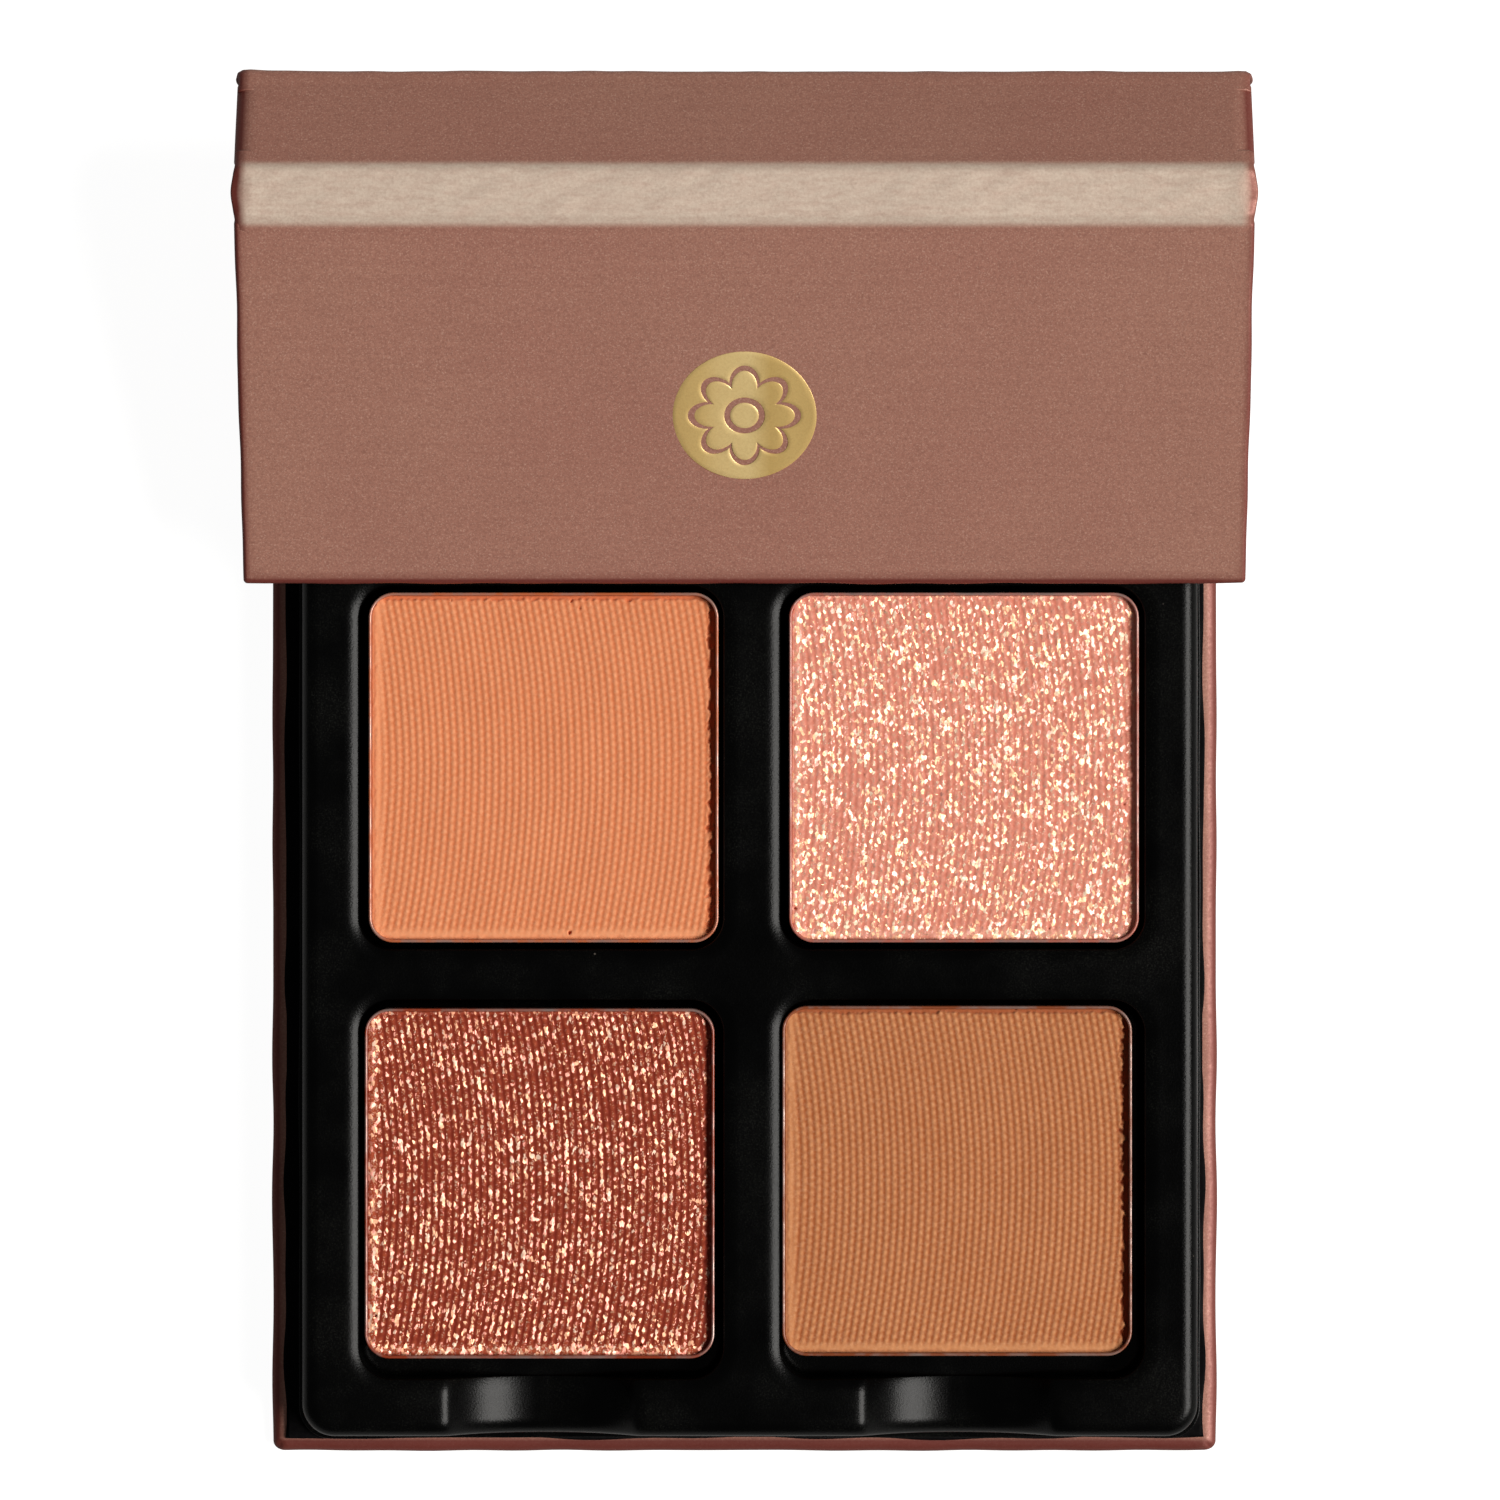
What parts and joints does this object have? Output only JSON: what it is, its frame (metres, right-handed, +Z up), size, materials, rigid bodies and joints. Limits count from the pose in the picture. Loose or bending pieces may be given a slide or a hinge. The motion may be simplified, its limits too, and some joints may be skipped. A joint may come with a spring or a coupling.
{
  "type": "eyeshadow palette",
  "caption": "Flat square makeup palette: black moulded tray with square pans of pressed powder on a paper-wrapped base, under a book-style lid of creased panels folded back.",
  "frame": {"origin": "on the base's underside, midway across its width, below the middle of the tray", "axes": "+Z up, +Y from the front edge to the hinge edge, +X to the right seen from the front"},
  "size_m": [0.0742, 0.1025, 0.022],
  "materials": {
    "wrap_paper": "pearl rose-brown printed paper, satin",
    "grey_board": "uncoated grey board",
    "black_paper": "matt black lining paper",
    "tray_plastic": "black thermoformed sheet with a fine matt grain",
    "pan_metal": "thin bright pressed metal",
    "pad_foam": "adhesive pad",
    "magnet_metal": "plated magnet",
    "gold_foil": "banded gold foil",
    "powder_peach": "pressed powder, matt, woven-texture press",
    "powder_pink_gold": "pressed powder, shimmer, woven-texture press",
    "powder_copper": "pressed powder, shimmer, woven-texture press",
    "powder_caramel": "pressed powder, matt, woven-texture press"
  },
  "bodies": {
    "base": {"base_wrap": "wrap_paper", "base_board": "grey_board", "base_liner": "black_paper", "base_crease_strip": "wrap_paper", "tray": "tray_plastic", "pan_front_left": "pan_metal", "powder_front_left": "powder_copper", "pan_pad_front_left": "pad_foam", "pan_front_right": "pan_metal", "powder_front_right": "powder_caramel", "pan_pad_front_right": "pad_foam", "pan_rear_left": "pan_metal", "powder_rear_left": "powder_peach", "pan_pad_rear_left": "pad_foam", "pan_rear_right": "pan_metal", "powder_rear_right": "powder_pink_gold", "pan_pad_rear_right": "pad_foam", "tray_magnet_left": "magnet_metal", "tray_magnet_right": "magnet_metal"},
    "spine": {"spine_wrap": "wrap_paper", "spine_board": "grey_board", "spine_liner": "black_paper", "spine_crease_strip": "wrap_paper"},
    "rear_panel": {"rear_crease_strip": "wrap_paper", "rear_panel_wrap": "wrap_paper", "rear_panel_board": "grey_board", "rear_panel_liner": "black_paper", "rear_fold_strip_lower": "wrap_paper"},
    "fold_panel": {"rear_fold_strip_upper": "wrap_paper", "fold_panel_wrap": "wrap_paper", "fold_panel_board": "grey_board", "fold_panel_liner": "black_paper", "front_fold_strip_rear": "wrap_paper"},
    "front_panel": {"front_fold_strip_front": "wrap_paper", "front_panel_wrap": "wrap_paper", "front_panel_board": "grey_board", "front_panel_liner": "black_paper", "lid_magnet_left": "magnet_metal", "lid_magnet_right": "magnet_metal", "foil_emblem": "gold_foil"}
  },
  "joints": [
    {"name": "spine_crease", "type": "hinge", "parent": "base", "child": "spine", "pos_m": [0, 0.0364, 0], "axis": [1, 0, 0], "range_deg": [-22, 0]},
    {"name": "rear_crease", "type": "hinge", "parent": "spine", "child": "rear_panel", "pos_m": [0, 0.0364, 0.0107], "axis": [1, 0, 0], "range_deg": [0, 174.4]},
    {"name": "rear_fold", "type": "hinge", "parent": "rear_panel", "child": "fold_panel", "pos_m": [0, 0.06686, 0.01525], "axis": [1, 0, 0], "range_deg": [-140.45, 0]},
    {"name": "front_fold", "type": "hinge", "parent": "fold_panel", "child": "front_panel", "pos_m": [0, 0.05827, 0.02199], "axis": [1, 0, 0], "range_deg": [-57.25, 0]}
  ],
  "couplings": [
    {"joint": "rear_fold", "follows": "rear_crease", "ratio": -0.80505},
    {"joint": "front_fold", "follows": "rear_crease", "ratio": -0.32798}
  ]
}
